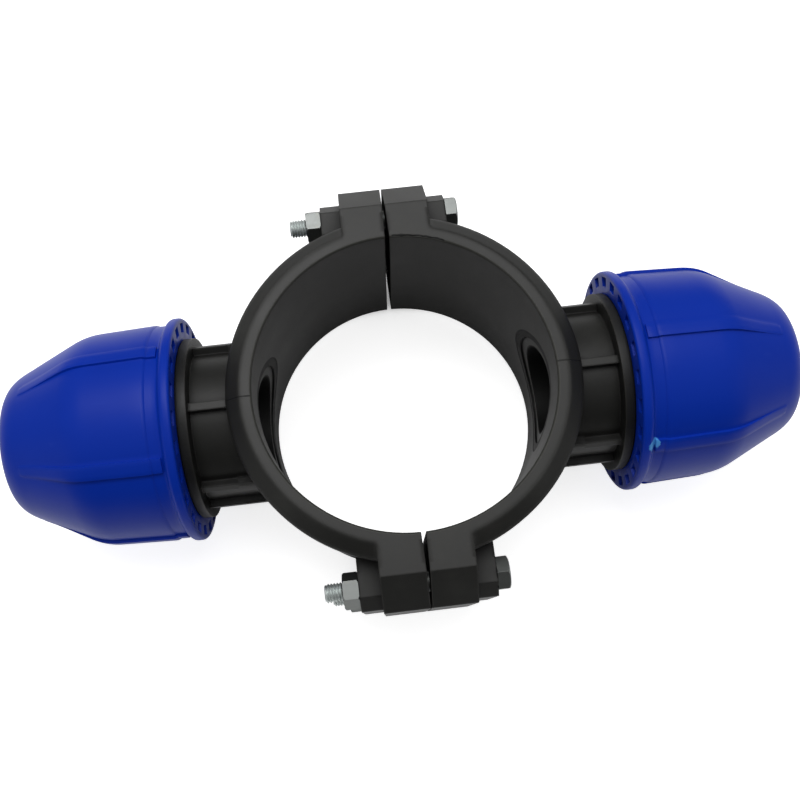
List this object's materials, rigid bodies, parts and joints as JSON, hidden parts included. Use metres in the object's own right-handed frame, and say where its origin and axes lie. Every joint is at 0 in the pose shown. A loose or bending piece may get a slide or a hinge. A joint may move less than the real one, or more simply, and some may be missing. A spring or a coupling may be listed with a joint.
{
  "type": "clamp saddle with two compression branches",
  "caption": "Two-part clamp saddle for a run pipe, with opposed compression branch outlets, blue union nuts, port gaskets, and hexagon bolts through side lugs.",
  "frame": {"origin": "centre of the run pipe bore, half way along the shells", "axes": "+Z along the run pipe, +X along the branch on the side of the bolt heads, Y through the two pairs of lugs"},
  "size_m": [0.3416, 0.1832, 0.1],
  "materials": {
    "black_pp": "black polypropylene, satin from the mould",
    "blue_pp": "blue polypropylene, semi-gloss",
    "rubber": "black rubber, dull",
    "grip_ring": "natural white acetal",
    "zinc_steel": "bright zinc plate"
  },
  "bodies": {
    "right_half": {"right_shell": "black_pp", "right_gasket": "rubber", "right_o_ring": "rubber", "right_bush": "black_pp", "bolt_top_front": "zinc_steel", "bolt_top_rear": "zinc_steel", "bolt_bottom_front": "zinc_steel", "bolt_bottom_rear": "zinc_steel"},
    "left_half": {"left_shell": "black_pp", "left_gasket": "rubber", "left_o_ring": "rubber", "left_bush": "black_pp", "hex_nut_top_front": "zinc_steel", "hex_nut_top_rear": "zinc_steel", "hex_nut_bottom_front": "zinc_steel", "hex_nut_bottom_rear": "zinc_steel"},
    "right_grip": {"right_grip_ring": "grip_ring"},
    "right_nut": {"right_compression_nut": "blue_pp"},
    "left_grip": {"left_grip_ring": "grip_ring"},
    "left_nut": {"left_compression_nut": "blue_pp"}
  },
  "joints": [
    {"name": "clamp_opening", "type": "slide", "parent": "right_half", "child": "left_half", "axis": [-1, 0, 0], "range_m": [0, 0.006]},
    {"name": "right_nut_travel", "type": "slide", "parent": "right_half", "child": "right_grip", "axis": [1, 0, 0], "range_m": [0, 0.018]},
    {"name": "right_nut_turn", "type": "hinge", "parent": "right_grip", "child": "right_nut", "pos_m": [0.136, 0, 0], "axis": [1, 0, 0], "range_deg": [0, 1080]},
    {"name": "left_nut_travel", "type": "slide", "parent": "left_half", "child": "left_grip", "axis": [-1, 0, 0], "range_m": [0, 0.018]},
    {"name": "left_nut_turn", "type": "hinge", "parent": "left_grip", "child": "left_nut", "pos_m": [-0.136, 0, 0], "axis": [-1, 0, 0], "range_deg": [0, 1080]}
  ],
  "couplings": [
    {"joint": "right_nut_travel", "follows": "right_nut_turn", "m_per_rad": 0.00095493},
    {"joint": "left_nut_travel", "follows": "left_nut_turn", "m_per_rad": 0.00095493}
  ]
}
